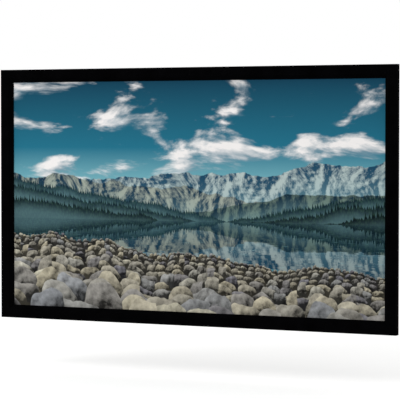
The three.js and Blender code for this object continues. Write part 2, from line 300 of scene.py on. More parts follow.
def add(tree, kind, inputs=(), stops=(), **settings):
    """Adds a shader node with its settings and links, and returns it.

    inputs gives its sockets, in order or by name or number: each a value, a node or a (node, output) pair.
    A Map Range has its value at 0, the range it comes from at 1 and 2, and the range it goes to at 3 and 4.
    A colour Mix has its factor at 0 and its colours at 6 and 7, and its result is output 2.
    stops gives a colour ramp its (position, colour) pairs.
    """
    node = tree.nodes.new(kind if kind.startswith("Node") else "ShaderNode" + kind)
    for name, value in settings.items():
        setattr(node, name, value)
    for key, value in inputs.items() if isinstance(inputs, dict) else enumerate(inputs):
        source = (value, 0) if isinstance(value, bpy.types.Node) else value
        if isinstance(source, tuple) and isinstance(source[0], bpy.types.Node):
            tree.links.new(source[0].outputs[source[1]], node.inputs[key])
        else:
            node.inputs[key].default_value = value
    for i, (position, colour) in enumerate(stops):
        element = node.color_ramp.elements[i] if i < 2 else node.color_ramp.elements.new(position)
        element.position = position
        element.color = colour
    return node


def material(name):
    """A new material with its node tree emptied, as (material, function that adds a node to it)."""
    made = bpy.data.materials.new(name)
    made.use_nodes = True
    made.node_tree.nodes.clear()
    return made, partial(add, made.node_tree)


def finished(made, node, sockets):
    """The material, once a Principled shader with the given sockets gives it its surface."""
    node("OutputMaterial", [node("BsdfPrincipled", sockets)])
    return made


def dress(nodes, look):
    """Gives CAD nodes a material in every slot that their meshes have."""
    for name in nodes:
        for slot in frame["nodes"][name].material_slots:
            slot.material = look


# Where fractal noise mostly keeps, as the range that a Map Range comes from
NOISE_SPAN = {1: 0.3, 2: 0.7}

Ridge = namedtuple("Ridge", "line tilt relief waves seed shade light haze haze_reach firs")

# Ridges from the farthest to the nearest
# line, relief, haze_reach and firs, a fir's height, are shares of the picture's height. tilt is a slope,
# waves counts the waves of a ridge over one picture height, and haze is the share of haze at the foot.
RIDGES = (
    Ridge(0.105, 0.05, 0.115, 1.3, 3.1, "#1c4660", "#b3c2c0", 0.66, 0.30, 0),
    Ridge(0.020, -0.10, 0.095, 1.7, 9.7, "#123349", "#9fa79b", 0.46, 0.26, 0),
    Ridge(-0.045, 0.08, 0.055, 2.1, 14.4, "#0b2738", "#66796f", 0.44, 0.14, 0),
    Ridge(-0.075, -0.16, 0.036, 2.7, 19.8, "#0c2733", "#2b4846", 0.38, 0.060, 0.019),
    Ridge(-0.100, -0.15, 0.030, 2.9, 24.1, "#091e28", "#27413b", 0.30, 0.055, 0.022),
    Ridge(-0.125, -0.12, 0.026, 3.0, 25.3, "#07181f", "#243b33", 0.22, 0.055, 0.025),
    Ridge(-0.128, 0.15, 0.034, 3.1, 27.3, "#0a212b", "#28433c", 0.32, 0.060, 0.024),
    Ridge(-0.150, 0.14, 0.028, 3.3, 33.9, "#06171e", "#233a31", 0.22, 0.055, 0.029),
    Ridge(-0.170, 0.11, 0.020, 3.5, 38.2, "#041116", "#1e3228", 0.14, 0.050, 0.034),
)

# Rows of boulders from the water's edge to the viewer
# Each has a base line and the width of a boulder, in picture heights, and a seed.
NEARNESS = np.linspace(0, 1.33, 13)
BOULDER_ROWS = tuple(
    zip(
        (-0.325 - 0.235 * NEARNESS**1.2).tolist(),
        (0.022 + 0.125 * NEARNESS**1.4).tolist(),
        (11.3 + 69.3 * NEARNESS).tolist(),
    )
)

# The smallest grain drawn on a boulder
FINEST_GRAIN = 2 * MM

# Tones of stone, by chance from 0 to 1
BOULDER_TONES = (
    (0.0, linear("#75747a")),
    (1.0, linear("#c0baa2")),
    (0.3, linear("#928f86")),
    (0.6, linear("#aaa38e")),
    (0.8, linear("#83868a")),
)


def land_and_sky(look):
    """A node group that paints sky, clouds and ridges, from a place in picture heights to a colour.

    Sky: a ramp over height. Clouds and slopes: fractal noise, whose light is the noise less itself moved
    towards the sun. Ridge: all below line + tilt * x + relief * noise(x), with haze that thickens towards its
    foot. Firs: triangles over the ridge's line, one in each cell along it, of chance heights and with frayed
    edges.
    """
    tree = bpy.data.node_groups.new("Ridges And Sky", "ShaderNodeTree")
    tree.interface.new_socket("Place", in_out="INPUT", socket_type="NodeSocketVector")
    tree.interface.new_socket("Colour", in_out="OUTPUT", socket_type="NodeSocketColor")
    node = partial(add, tree)
    place = node("NodeGroupInput")
    axes = node("SeparateXYZ", [place])
    across = (axes, "X")
    height = (axes, "Z")

    rise = node("MapRange", {0: height, 1: look.far_shore + 0.08, 2: 0.5})
    sky = ((0.0, look.sky_low), (1.0, look.sky_top), (0.45, look.sky_middle))
    painted = node("ValToRGB", [rise], stops=sky)

    stretched = node("Mapping", {"Vector": place, "Location": (0.35, 0, 0.62), "Scale": (1.0, 1.0, 2.7)})
    towards_sun = node("Mapping", {"Vector": stretched, "Location": (-0.035, 0, 0.06)})
    billow = {"Scale": 2.3, "Detail": 8.0, "Roughness": 0.55, "Distortion": 0.35}
    cloud = node("TexNoise", {"Vector": stretched, **billow})
    sunward = node("TexNoise", {"Vector": towards_sun, **billow})
    cover = node("MapRange", {0: cloud, 1: 0.51, 2: 0.63}, interpolation_type="SMOOTHSTEP")
    lit = node("MapRange", {0: node("Math", [cloud, sunward], operation="SUBTRACT"), 1: -0.07, 2: 0.06})
    cloud_colour = node("Mix", {0: lit, 6: look.cloud_shade, 7: look.cloud_light}, data_type="RGBA")
    thin = node("Math", [cover, 0.95], operation="MULTIPLY")
    painted = node("Mix", {0: thin, 6: painted, 7: (cloud_colour, 2)}, data_type="RGBA")

    gullies = {"Scale": 5.5, "Detail": 7.5, "Roughness": 0.66, "Distortion": 0.5}
    folded = node("Mapping", {"Vector": place, "Scale": (1.0, 1.0, 0.7), "Rotation": (0, 0.35, 0)})
    relief = node("TexNoise", {"Vector": folded, **gullies})
    moved = node("VectorMath", {0: folded, 1: (-0.012, 0.0, 0.010)}, operation="ADD")
    relief_sunward = node("TexNoise", {"Vector": moved, **gullies})
    slope = node("Math", [relief, relief_sunward], operation="SUBTRACT")
    facing = node("MapRange", {0: slope, 1: -0.035, 2: 0.055})
    drawn_out = node("Mapping", {"Vector": place, "Scale": (1, 1, 0.55)})
    crowns = node("TexVoronoi", {"Vector": drawn_out, "Scale": 120.0})
    leafy = node("MapRange", {0: (crowns, "Distance"), 1: 0.1, 2: 0.7, 3: 0.9, 4: 0.0})
    ragged = node("TexNoise", {"Vector": place, "Scale": 260.0, "Detail": 2.0})
    frayed = node("Math", [ragged, 0.006, -0.003], operation="MULTIPLY_ADD")

    rolling = {"Scale": 1.0, "Detail": 7.0, "Roughness": 0.56}
    for ridge in RIDGES:
        along = node("Math", [across, ridge.waves, ridge.seed], operation="MULTIPLY_ADD")
        wave = node("TexNoise", {"W": along, **rolling}, noise_dimensions="1D")
        lean = node("Math", [across, ridge.tilt, ridge.line - ridge.relief], operation="MULTIPLY_ADD")
        line = node("Math", [wave, 2 * ridge.relief, lean], operation="MULTIPLY_ADD")
        below = node("Math", [line, height], operation="SUBTRACT")
        crest, texture = below, facing
        if ridge.firs:
            stand = node("Math", [across, 3.2 / ridge.firs, ridge.seed], operation="MULTIPLY_ADD")
            fir = node("TexVoronoi", {"W": stand, "Scale": 1.0, "Randomness": 0.9}, voronoi_dimensions="1D")
            taper = node("MapRange", {0: (fir, "Distance"), 1: 0.0, 2: 0.62, 3: 1.0, 4: 0.0})
            chance = node("SeparateColor", [(fir, "Color")])
            tall = node("MapRange", {0: (chance, "Red"), 3: 0.35 * ridge.firs, 4: 1.25 * ridge.firs})
            over_shore = node("Math", [line, look.far_shore], operation="SUBTRACT")
            ashore = node("MapRange", {0: over_shore, 2: 0.03})
            height_here = node("Math", [tall, ashore], operation="MULTIPLY")
            outline = node("Math", [taper, height_here, frayed], operation="MULTIPLY_ADD")
            crest = node("Math", [below, outline], operation="ADD")
            texture = leafy
        inside = node("MapRange", {0: crest, 1: 0.0, 2: 0.003})
        slopes = node("Mix", {0: texture, 6: linear(ridge.shade), 7: linear(ridge.light)}, data_type="RGBA")
        mist = {1: -0.01, 2: ridge.haze_reach, 4: ridge.haze}
        veil = node("MapRange", {0: below, **mist}, interpolation_type="SMOOTHSTEP")
        hazy = node("Mix", {0: veil, 6: (slopes, 2), 7: look.haze}, data_type="RGBA")
        painted = node("Mix", {0: inside, 6: (painted, 2), 7: (hazy, 2)}, data_type="RGBA")
    node("NodeGroupOutput", [(painted, 2)])
    return tree


def paint_lake(node, painted, across, height, group, look):
    """Adds nodes for the lake below the far shore: the land and sky upside down, darker towards the viewer.

    Ripples are noise on a level plane in perspective, (x / q, 1 / q) with q the distance below the horizon.
    They move the reflection by more the nearer they are.
    """
    drop = node("Math", [look.far_shore, height], operation="SUBTRACT")
    reach = node("Math", [drop, 0.035], operation="ADD")
    lateral = node("Math", [across, reach], operation="DIVIDE")
    depth = node("Math", [1.0, reach], operation="DIVIDE")
    plane = node("CombineXYZ", [lateral, depth])
    ripple_place = node("Mapping", {"Vector": plane, "Scale": (1.1, 3.4, 1.0)})
    ripple = node("TexNoise", {"Vector": ripple_place, "Scale": 1.6, "Detail": 5.0, "Roughness": 0.6})
    wobble = node("Math", [ripple, 0.5], operation="SUBTRACT")
    swing = node("Math", [wobble, node("Math", [drop, 0.34], operation="MULTIPLY")], operation="MULTIPLY")
    mirrored = node("Math", [look.far_shore, node("Math", [drop, swing], operation="ADD")], operation="ADD")
    sideways = node("Math", [swing, 0.25, across], operation="MULTIPLY_ADD")
    reflected = node("Group", [node("CombineXYZ", {"X": sideways, "Z": mirrored})], node_tree=group)
    deepening = node("MapRange", {0: drop, 1: 0.0, 2: 0.40, 3: 0.20, 4: 0.72})
    water = node("Mix", {0: deepening, 6: reflected, 7: look.deep_water}, data_type="RGBA")
    glint = node("MapRange", {0: ripple, 1: 0.60, 2: 0.74, 4: 0.45})
    water = node("Mix", {0: glint, 6: (water, 2), 7: look.sky_low}, data_type="RGBA")
    on_lake = node("MapRange", {0: drop, 1: 0.0, 2: 0.004})
    return node("Mix", {0: on_lake, 6: painted, 7: (water, 2)}, data_type="RGBA")


def paint_boulders(node, painted, place, across, height):
    """Adds nodes for rows of boulders, each drawn over the row behind it.

    A boulder's outline is foot + rise * sqrt(1 - |side / radius|^roundness) over its cell along the row, with
    bumps. Its light grows with the height in the boulder, falls from left to right, and adds noise less
    itself moved towards the sun. No node here clamps or converts, because that makes the shader too large:
    Mix limits its own factor.
    """
    along = node("Math", [across, 2.0, 41.0], operation="MULTIPLY_ADD")
    winding = {"Scale": 1.0, "Detail": 5.0, "Roughness": 0.55}
    bays = node("TexNoise", {"W": along, **winding}, noise_dimensions="1D")
    slant = node("Math", [across, -0.10], operation="MULTIPLY")
    bank = node("Math", [bays, 0.14, slant], operation="MULTIPLY_ADD")
    over_bank = node("Math", [height, bank], operation="SUBTRACT")
    radius, roundness, edge = 0.55, 2.3, 0.0025
    for base, width, seed in BOULDER_ROWS:
        detail = math.log2(width * VIEW_HEIGHT / FINEST_GRAIN)
        rough = {"Scale": 1.1 / width, "Detail": detail, "Roughness": 0.66}
        relief = node("TexNoise", {"Vector": place, **rough})
        moved = node("Mapping", {"Vector": place, "Location": (-0.10 * width, 0.0, 0.10 * width)})
        relief_sunward = node("TexNoise", {"Vector": moved, **rough})
        knobs = node("Math", [relief, relief_sunward], operation="SUBTRACT")

        lumps = node("TexNoise", {"Vector": place, "Scale": 1.3 / width, "Detail": 1.5, "Roughness": 0.45})
        shifted = node("Math", [lumps, 0.50 * width, across], operation="MULTIPLY_ADD")
        stand = node("Math", [shifted, 1 / width, seed], operation="MULTIPLY_ADD")
        boulder = node("TexVoronoi", {"W": stand, "Scale": 1.0, "Randomness": 0.95}, voronoi_dimensions="1D")
        side = node("Math", [stand, (boulder, "W")], operation="SUBTRACT")
        chance = node("SeparateColor", [(boulder, "Color")])
        power = node("Math", [(boulder, "Distance"), roundness], operation="POWER")
        left_over = node("Math", [power, -(radius**-roundness), 1.0], operation="MULTIPLY_ADD")
        dome = node("Math", [left_over], operation="SQRT")

        rise = node("Math", [(chance, "Red"), 0.45 * width, 0.25 * width], operation="MULTIPLY_ADD")
        over_foot = node("Math", [over_bank, base], operation="SUBTRACT")
        bumps = node("Math", [lumps, 0.30 * width, -0.15 * width], operation="MULTIPLY_ADD")
        top = node("Math", [rise, dome, bumps], operation="MULTIPLY_ADD")
        below_top = node("Math", [top, over_foot], operation="SUBTRACT")
        inside = node("Math", [below_top, edge], operation="DIVIDE")

        up = node("Math", [over_foot, rise], operation="DIVIDE")
        raised = node("Math", [up, 1.05, 0.16], operation="MULTIPLY_ADD")
        leant = node("Math", [side, -0.55, raised], operation="MULTIPLY_ADD")
        lit = node("Math", [knobs, 4.2, leant], operation="MULTIPLY_ADD")
        shaded = node("Math", [relief, 0.35, -0.085], operation="MULTIPLY_ADD")
        light = node("Math", [lit, shaded], operation="MAXIMUM")
        tone = node("ValToRGB", [(chance, "Green")], stops=BOULDER_TONES)
        stone = node("HueSaturation", {"Color": tone, "Value": light})
        painted = node("Mix", {0: inside, 6: (painted, 2), 7: stone}, data_type="RGBA")
    return painted


def paint_landscape(node, position, look):
    """Adds nodes for a lake among ridges with boulders in front, and returns its colour's node and output."""
    place = node("Mapping", {"Vector": position, "Scale": (1 / VIEW_HEIGHT,) * 3})
    axes = node("SeparateXYZ", [place])
    across, height = (axes, "X"), (axes, "Z")
    group = land_and_sky(look)
    scenery = node("Group", [place], node_tree=group)
    with_lake = paint_lake(node, scenery, across, height, group, look)
    return paint_boulders(node, with_lake, place, across, height), 2


def vinyl_with_painted_projection(look):
    """Matte PVC vinyl, calendered: an even, unglossy skin that shows a picture's colours as they are. Its
    landscape stands in for a projected picture, painted into the base colour as painted light.
    """
    made, node = material("Matte PVC Vinyl, Calendered")
    position = (node("TexCoord"), "Object")
    # Painted light: the projected landscape is painted into the sheet's base colour.
    colour = paint_landscape(node, position, look) if look.shown else linear("#f3f3f1")
    # The calender's grain is about 0.2 mm. It is drawn at 1.5 mm, so that it shows at all.
    grain = node("TexNoise", {"Vector": position, "Scale": 1 / (1.5 * MM), "Detail": 2.0})
    relief = node("Bump", {"Height": grain, "Strength": 0.25, "Distance": 0.02 * MM})
    skin = {"Roughness": 0.90, "IOR": 1.53, "Specular IOR Level": 0.06}
    return finished(made, node, {"Base Color": colour, **skin, "Normal": relief})


def backing_film(colour):
    """Black acrylic coating on the vinyl's back: flat and chalky, with faint roller marks and scuffs."""
    made, node = material("Acrylic Backing, Roller Coated")
    position = (node("TexCoord"), "Object")
    cloudy = node("TexNoise", {"Vector": position, "Scale": 1 / (90 * MM), "Detail": 4.0})
    tone = node("MapRange", {0: cloudy, **NOISE_SPAN, 3: 0.82, 4: 1.18})
    shaded = node("VectorMath", {0: colour[:3], "Scale": tone}, operation="SCALE")
    # The coating roller's marks run up the sheet, 25 mm apart. Scuffs from handling are about 1 mm wide.
    rolled = node("Mapping", {"Vector": position, "Scale": (1 / (25 * MM), 1, 1 / (900 * MM))})
    bands = node("TexNoise", {"Vector": rolled, "Scale": 1.0, "Detail": 3.0})
    slanting = {"Rotation": (0, 0.6, 0), "Scale": (70 * MM, 1, 1.2 * MM)}
    rubbed = node("Mapping", {"Vector": position, **slanting}, vector_type="TEXTURE")
    streaks = node("TexNoise", {"Vector": rubbed, "Scale": 1.0, "Detail": 2.0, "Distortion": 0.4})
    where = node("TexNoise", {"Vector": position, "Scale": 1 / (160 * MM), "Detail": 3.0})
    strong = node("MapRange", {0: streaks, 1: 0.60, 2: 0.74})
    handled = node("MapRange", {0: where, 1: 0.52, 2: 0.64})
    scuffed = node("Math", [strong, handled], operation="MULTIPLY")
    chalk = node("Math", [scuffed, 0.55], operation="MULTIPLY")
    worn = node("Mix", {0: chalk, 6: shaded, 7: linear("#55565a")}, data_type="RGBA")
    sheen = node("MapRange", {0: bands, **NOISE_SPAN, 3: 0.73, 4: 0.81})
    peel = node("TexNoise", {"Vector": position, "Scale": 1 / (2.5 * MM), "Detail": 3.0})
    relief = node("Bump", {"Height": peel, "Strength": 0.3, "Distance": 0.05 * MM})
    return finished(made, node, {"Base Color": (worn, 2), "Roughness": sheen, "IOR": 1.49, "Normal": relief})


def flocked_velvet(colour):
    """Nylon flock on cloth: black that drinks light, with a dusty sheen. Its base colour holds painted sheen,
    lighter and darker patches where the nap lies differently, and painted shade between the tufts.
    """
    made, node = material("Flocked Velvet, Nylon Pile")
    position = (node("TexCoord"), "Object")
    # Painted sheen: the base colour is lighter and darker in patches where the nap lies differently.
    painted_nap_sheen = node("TexNoise", {"Vector": position, "Scale": 1 / (120 * MM), "Detail": 5.0, "Roughness": 0.6})
    tone = node("MapRange", {0: painted_nap_sheen, **NOISE_SPAN, 3: 0.6, 4: 1.4})
    # Flock fibres are 0.03 mm thick. Their tufts are drawn 1.2 mm across, so that the pile shows close by.
    tufts = node("TexNoise", {"Vector": position, "Scale": 1 / (1.2 * MM), "Detail": 3.0})
    # Painted shade and light: the base colour is darker between the tufts and lighter on their tops.
    depth = node("MapRange", {0: tufts, 1: 0.38, 2: 0.64, 3: 0.10, 4: 2.0})
    shade = node("Math", [tone, depth], operation="MULTIPLY")
    pile = node("VectorMath", {0: colour[:3], "Scale": shade}, operation="SCALE")
    relief = node("Bump", {"Height": tufts, "Strength": 0.8, "Distance": 0.4 * MM})
    sheen = {"Sheen Weight": 0.006, "Sheen Roughness": 0.45, "Sheen Tint": linear("#9a9ca4")}
    dull = {"Roughness": 0.97, "Specular IOR Level": 0.006}
    return finished(made, node, {"Base Color": pile, **dull, **sheen, "Normal": relief})


def extruded_aluminium(colour, direction, length_axis):
    """Mill finish aluminium, extruded: soft grey metal with fine die lines along each bar's length."""
    made, node = material(f"Mill Finish Aluminium, Extruded {direction}")
    position = (node("TexCoord"), "Object")
    # Die lines are 0.05 to 0.3 mm apart and run for metres. They are drawn 0.8 mm apart.
    scale = [1 / (0.8 * MM)] * 3
    scale[length_axis] = 1 / (600 * MM)
    drawn = node("Mapping", {"Vector": position, "Scale": scale})
    lines = node("TexNoise", {"Vector": drawn, "Scale": 1.0, "Detail": 4.0, "Roughness": 0.6})
    stain = node("TexNoise", {"Vector": position, "Scale": 1 / (60 * MM), "Detail": 5.0})
    tone = node("MapRange", {0: stain, **NOISE_SPAN, 3: 0.9, 4: 1.04})
    metal = node("VectorMath", {0: colour[:3], "Scale": tone}, operation="SCALE")
    rough = node("MapRange", {0: lines, **NOISE_SPAN, 3: 0.30, 4: 0.46})
    relief = node("Bump", {"Height": lines, "Strength": 0.35, "Distance": 0.03 * MM})
    sockets = {"Base Color": metal, "Metallic": 1.0, "Roughness": rough, "Normal": relief}
    return finished(made, node, sockets)


def welded_pvc(colour):
    """Black PVC binding, welded: satin, finely grained, with crossed ribs where the welding bar pressed."""
    made, node = material("PVC Binding, Welded")
    position = (node("TexCoord"), "Object")
    axes = node("SeparateXYZ", [position])
    beyond = []
    for axis in ("X", "Z"):
        size = node("Math", [(axes, axis)], operation="ABSOLUTE")
        beyond.append(node("Math", [size, HALF_VIEW[axis.lower()]], operation="SUBTRACT"))
    outward = node("Math", beyond, operation="MAXIMUM")
    from_weld = node("Math", [outward, (WELD_INNER_U + WELD_OUTER_U) / 2], operation="SUBTRACT")
    aside = node("Math", [from_weld], operation="ABSOLUTE")
    in_weld = node("Math", [aside, (WELD_OUTER_U - WELD_INNER_U) / 2], operation="LESS_THAN")
    # Welding ribs are 1.5 mm apart and cross at 45 degrees. A wave of scale s repeats every 2 pi / 20 / s.
    scale = 2 * math.pi / 20 / (1.5 * MM)
    ribs = []
    for turn in (45, -45):
        crosswise = node("Mapping", {"Vector": position, "Rotation": (0, math.radians(turn), 0)})
        ribs.append(node("TexWave", {"Vector": crosswise, "Scale": scale}, bands_direction="X"))
    crossed = node("Math", [ribs[0], ribs[1]], operation="MAXIMUM")
    # The plain strap's grain is about 0.3 mm. It is drawn at 1 mm.
    grain = node("TexNoise", {"Vector": position, "Scale": 1 / (1 * MM), "Detail": 2.0})
    height = node("Mix", {0: in_weld, 2: grain, 3: crossed})
    relief = node("Bump", {"Height": height, "Strength": 0.7, "Distance": 0.2 * MM})
    worn = node("TexNoise", {"Vector": position, "Scale": 1 / (25 * MM), "Detail": 4.0})
    rough = node("MapRange", {0: worn, **NOISE_SPAN, 3: 0.38, 4: 0.60})
    return finished(made, node, {"Base Color": colour, "Roughness": rough, "IOR": 1.53, "Normal": relief})


def plated_metal(name, colour, roughness, spread, patch):
    """Plated or blackened steel and brass: an even tone, with cloudy patches of a given size in its shine."""
    made, node = material(name)
    position = (node("TexCoord"), "Object")
    cloudy = node("TexNoise", {"Vector": position, "Scale": 1 / patch, "Detail": 6.0, "Roughness": 0.6})
    tone = node("MapRange", {0: cloudy, **NOISE_SPAN, 3: 0.86, 4: 1.06})
    metal = node("VectorMath", {0: colour[:3], "Scale": tone}, operation="SCALE")
    rough = node("MapRange", {0: cloudy, **NOISE_SPAN, 3: roughness - spread, 4: roughness + spread})
    return finished(made, node, {"Base Color": metal, "Metallic": 1.0, "Roughness": rough})


def powder_coat(colour):
    """Polyester powder coat on steel: satin black with a fine orange peel."""
    made, node = material("Powder Coated Steel, Satin")
    position = (node("TexCoord"), "Object")
    peel = node("TexNoise", {"Vector": position, "Scale": 1 / (1.8 * MM), "Detail": 2.0})
    relief = node("Bump", {"Height": peel, "Strength": 0.5, "Distance": 0.06 * MM})
    rough = node("MapRange", {0: peel, **NOISE_SPAN, 3: 0.38, 4: 0.52})
    return finished(made, node, {"Base Color": colour, "Roughness": rough, "IOR": 1.55, "Normal": relief})


# Meshes


def mesh_object(name, points, looks, join_columns=True):
    """An object from grids of points shaped (copies, rows, columns, 3), with a face between four neighbours.

    join_columns closes each row on itself. A row that lies in one point is welded to a pole.
    A closed grid whose volume comes out negative is turned, so that its faces point outwards.
    """
    copies, rows, columns = points.shape[:3]
    index = np.arange(copies * rows * columns).reshape(copies, rows, columns)
    if join_columns:
        index = np.concatenate([index, index[:, :, :1]], axis=2)
    corners = (index[:, :-1, :-1], index[:, 1:, :-1], index[:, 1:, 1:], index[:, :-1, 1:])
    quads = np.stack(corners, axis=-1).reshape(-1, 4)
    places = points.reshape(-1, 3)
    a, b, c, d = (places[quads[:, i]] for i in range(4))
    volume = np.einsum("ij,ij->", a, np.cross(b, c)) + np.einsum("ij,ij->", a, np.cross(c, d))
    if join_columns and volume < 0:
        quads = quads[:, ::-1]
    mesh = bpy.data.meshes.new(name)
    mesh.vertices.add(len(places))
    mesh.vertices.foreach_set("co", places.ravel())
    mesh.loops.add(quads.size)
    mesh.loops.foreach_set("vertex_index", quads.ravel())
    mesh.polygons.add(len(quads))
    mesh.polygons.foreach_set("loop_start", np.arange(0, quads.size, 4))
    mesh.update(calc_edges=True)
    welded = bmesh.new()
    welded.from_mesh(mesh)
    bmesh.ops.remove_doubles(welded, verts=welded.verts, dist=SAME_POINT)
    welded.to_mesh(mesh)
    welded.free()
    mesh.polygons.foreach_set("use_smooth", np.ones(len(mesh.polygons), bool))
    mesh.set_sharp_from_angle(angle=SHARP_EDGE)
    for look in looks:
        mesh.materials.append(look)
    piece = bpy.data.objects.new(name, mesh)
    bpy.context.scene.collection.objects.link(piece)
    return piece


def seat(piece, slot, *nodes):
    """The piece rides the frame and stands for CAD nodes, which it hides. slot is not used."""
    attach(piece, "root")
    if nodes:
        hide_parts(*nodes)


def snap_places(low, high, pitch):
    """Places along a rail at low + (i + 1/2) * length / count, with length / count nearest to the pitch."""
    count = max(1, round((high - low) / pitch))
    return low + (np.arange(count) + 0.5) * (high - low) / count


def side_snaps(side, pitch):
    """Places of a side's snaps along it. The top and the bottom have two rails each."""
    half = HALF_SIDE[side]
    if side in LEVEL_SIDES:
        return np.concatenate([snap_places(-half, 0, pitch), snap_places(0, half, pitch)])
    return snap_places(-half, half, pitch)


def on_side(side, along, u, y):
    """Points (..., 3) of a side, from the distance along it, the distance u outwards and the depth y."""
    sign = 1 if side in ("top", "right") else -1
    along, u, y = np.broadcast_arrays(along, u, y)
    if side in LEVEL_SIDES:
        return np.stack([along, y, sign * (HALF_VIEW["z"] + u)], axis=-1)
    return np.stack([sign * (HALF_VIEW["x"] + u), y, along], axis=-1)


def turned(profile, centres, side):
    """Surfaces of revolution about the depth axis: (radius, y) rows carried round each centre on a side.

    Point (i, j) lies at the centre + radius_i * (cos t_j, sin t_j) in the side's plane, at y_i.
    """
    turn = np.linspace(0, 2 * np.pi, SNAP_FACETS, endpoint=False)
    radius, y = np.asarray(profile, float).T
    across = radius[:, None] * np.cos(turn)
    outward = radius[:, None] * np.sin(turn)
    return on_side(side, centres[:, None, None] + across, SNAP_U + outward, y[:, None])


def arc(centre, radius, start, stop, count):
    """Points (count, 2) on an arc, its angles in degrees."""
    angle = np.radians(np.linspace(start, stop, count))
    return np.asarray(centre) + radius * np.stack([np.cos(angle), np.sin(angle)], axis=-1)


# Pieces


def make_sheet(settings):
    """The sheet: x and z over a grid, with y set back by the ripples between the snaps.

    Along each side, y = ripple * cos(pi * n)^2 * (t / reach) * exp(1 - t / reach), where n counts the pitches
    of the snaps along the side, which lie at every n + 1/2, and t is the distance inside the picture's edge.
    """
    low, high = np.array(SHEET_LOW), np.array(SHEET_HIGH)
    across = np.linspace(low[0], high[0], SHEET_GRID[0])
    upward = np.linspace(low[2], high[2], SHEET_GRID[1])
    x, z = np.meshgrid(across, upward, indexing="ij")
    y = np.full_like(x, low[1])
    ripple, reach, pitch = settings.sheet.ripple, settings.sheet.ripple_reach, settings.sheet.snap_pitch
    for along, away, key in ((x, z, "x"), (z, x, "z")):
        other = "z" if key == "x" else "x"
        span = HALF_VIEW[key] if key == "x" else 2 * HALF_VIEW[key]
        step = span / max(1, round(span / pitch))
        wave = np.cos(np.pi * (along + HALF_VIEW[key]) / step) ** 2
        for sign in (-1, 1):
            inside = np.clip((HALF_VIEW[other] - sign * away) / reach, 0, None)
            y += ripple * wave * inside * np.exp(1 - inside)
    looks = (vinyl_with_painted_projection(settings.picture), backing_film(settings.sheet.backing))
    grid = np.stack([x, y, z], axis=-1)[None]
    sheet = mesh_object("projection_sheet", grid, looks, join_columns=False)
    solid = sheet.modifiers.new("Thickness", "SOLIDIFY")
    solid.thickness = high[1] - low[1]
    solid.offset = -1
    solid.material_offset = 1
    solid.material_offset_rim = 1
    seat(sheet, "screen_vinyl", "screen_vinyl")
    return sheet


def wrap_line(offset):
    """Lines (..., points, 2) of (u, y) that run parallel to the rail's covered faces at each offset given.

    Each bend is an arc of radius bend + offset about the point that lies the bend radius inside both its
    faces, and its angles run from one face's outward direction to the next one's.
    """
    corners = np.array([
        (RAIL_OUTER_U - REAR_TUCK, RAIL_REAR),
        (RAIL_OUTER_U, RAIL_REAR),
        (RAIL_OUTER_U, RAIL_FRONT),
        (RAIL_INNER_U + BEVEL, RAIL_FRONT),
        (RAIL_INNER_U, RAIL_FRONT + BEVEL),
        (RAIL_INNER_U, BEAD_Y),
        (RAIL_INNER_U + BEAD, BEAD_Y),
    ])
    along = np.diff(corners, axis=0)
    along /= np.linalg.norm(along, axis=1, keepdims=True)
    outward = np.stack([-along[:, 1], along[:, 0]], axis=-1)
    before, after = outward[:-1], outward[1:]
    facing = np.unwrap(np.arctan2(outward[:, 1], outward[:, 0]))
    spread = 1 + np.sum(before * after, axis=1, keepdims=True)
    centres = corners[1:-1] - WRAP_BEND * (before + after) / spread
    angles = facing[:-1, None] + np.diff(facing)[:, None] * np.linspace(0, 1, BEND_STEPS)
    offset = np.asarray(offset, float)[..., None, None]
    arcs = (WRAP_BEND + offset)[..., None] * np.stack([np.cos(angles), np.sin(angles)], axis=-1)
    bends = (centres[:, None] + arcs).reshape(*offset.shape[:-2], -1, 2)
    ends = [corners[[i]] + offset * outward[[i]] for i in (0, -1)]
    return np.concatenate([ends[0], bends, ends[1]], axis=-2)


def make_velvet(rail, settings, look):
    """One rail's velvet: a strip of constant thickness folded round the rail, rolled in at the joints.

    At the distance roll * (1 - cos t) from a joint the pile's height is thickness * sin t, with t from 0 to
    90 degrees. A mitred end lies at half length + u, and a butt end at the middle of the side. The edge
    behind the rail was trimmed by hand: it wanders by trim * (sin(a * share) + sin(b * share)) / 2, where a
    and b are the trim's waves, and share is the place along the strip from 0 to 1.
    """
    side = rail.split("_")[0]
    turn = np.linspace(0, np.pi / 2, ROLL_STEPS)
    roll = settings.frame.seam_roll * (1 - np.cos(turn))
    height = np.sin(turn)
    between = np.linspace(0, 1, VELVET_STATIONS + 2)[1:-1]
    share = np.concatenate([0 * roll, between, 0 * roll + 1])[:, None]
    inset = np.concatenate([roll, 0 * between, -roll[::-1]])[:, None]
    full = np.concatenate([height, 0 * between + 1, height[::-1]])
    pile = wrap_line(GLUE_LINE + VELVET_THICKNESS * full)
    glued = wrap_line(GLUE_LINE + 0 * full)
    section = np.concatenate([pile, glued[:, ::-1]], axis=1)
    u, y = section[..., 0], section[..., 1]
    u[:, [0, -1]] += settings.frame.trim * sum(np.sin(wave * share) for wave in TRIM_WAVES) / 2
    half = HALF_SIDE[side]
    low = 0 if rail.endswith("_right") else -(half + u)
    high = 0 if rail.endswith("_left") else half + u
    along = low + share * (high - low) + inset
    piece = mesh_object(f"{rail}_velvet_sleeve", on_side(side, along, u, y)[None], [look])
    seat(piece, "velvet", f"{rail}_velvet_wrap")
    middle = wrap_line(GLUE_LINE + VELVET_THICKNESS / 2)


